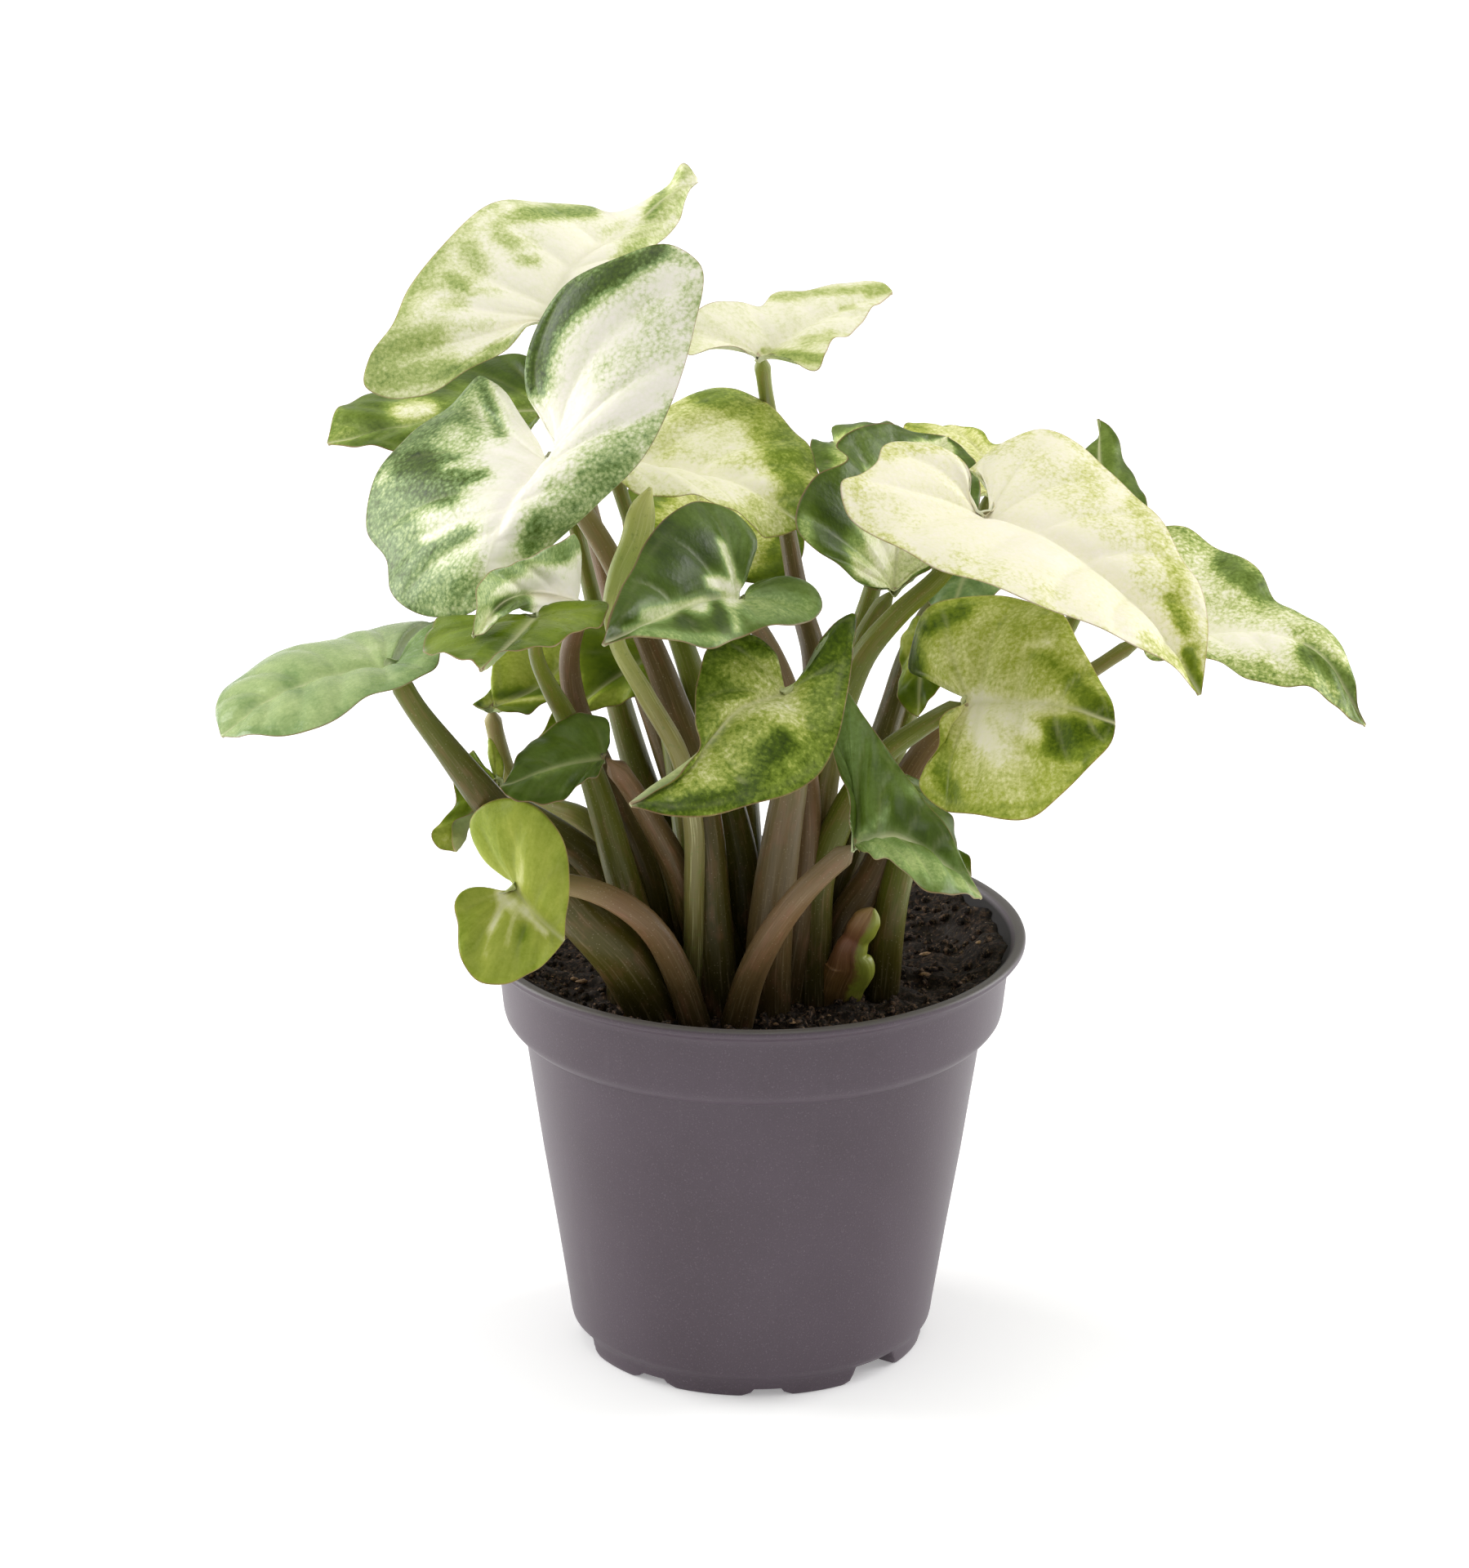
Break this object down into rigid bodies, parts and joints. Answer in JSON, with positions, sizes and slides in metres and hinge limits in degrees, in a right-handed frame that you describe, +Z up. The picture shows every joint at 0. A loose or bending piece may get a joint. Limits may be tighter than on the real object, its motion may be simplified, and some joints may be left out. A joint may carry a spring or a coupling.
{
  "type": "potted syngonium",
  "caption": "Variegated arrowhead plant: a clump of long-stalked, arrow-shaped green and cream leaves in soil, in a round tapered nursery pot.",
  "frame": {"origin": "middle of the pot's base, on the plane its feet stand on, on the pot's axis", "axes": "+Z up along the pot's axis, -Y towards the front that the picture shows, +X to the right of that view"},
  "size_m": [0.2469, 0.204, 0.2547],
  "materials": {
    "pot": "satin injection-moulded plastic with a fine speckle",
    "soil": "rough, crumbly dark peat with lighter chips",
    "leaf": "soft waxy leaf, cream centre, stippled green edge, pale underside",
    "stem": "smooth fleshy stem, finely striped, green above and pinkish brown below"
  },
  "bodies": {
    "root": {"leaf_back": "leaf", "leaf_back_curl": "leaf", "leaf_back_edge": "leaf", "leaf_back_right": "leaf", "leaf_behind_left": "leaf", "leaf_big_left": "leaf", "leaf_big_right": "leaf", "leaf_centre": "leaf", "leaf_far_left": "leaf", "leaf_far_right": "leaf", "leaf_front": "leaf", "leaf_front_left": "leaf", "leaf_inner_left": "leaf", "leaf_lime_low": "leaf", "leaf_low_back": "leaf", "leaf_low_behind_left": "leaf", "leaf_low_right": "leaf", "leaf_mid_right": "leaf", "leaf_middle": "leaf", "leaf_round_right": "leaf", "leaf_small_low": "leaf", "leaf_small_right": "leaf", "leaf_top_left": "leaf", "leaf_top_small": "leaf", "leaf_twisted": "leaf", "leaf_under_left": "leaf", "leaf_under_right": "leaf", "old_sheath": "stem", "pot": "pot", "soil": "soil", "stem_back": "stem", "stem_back_curl": "stem", "stem_back_edge": "stem", "stem_back_right": "stem", "stem_behind_left": "stem", "stem_big_left": "stem", "stem_big_right": "stem", "stem_centre": "stem", "stem_far_left": "stem", "stem_far_right": "stem", "stem_front": "stem", "stem_front_left": "stem", "stem_inner_left": "stem", "stem_lime_low": "stem", "stem_low_back": "stem", "stem_low_behind_left": "stem", "stem_low_right": "stem", "stem_mid_right": "stem", "stem_middle": "stem", "stem_round_right": "stem", "stem_small_low": "stem", "stem_small_right": "stem", "stem_top_left": "stem", "stem_top_small": "stem", "stem_twisted": "stem", "stem_under_left": "stem", "stem_under_right": "stem", "young_leaf": "leaf"}
  },
  "joints": []
}
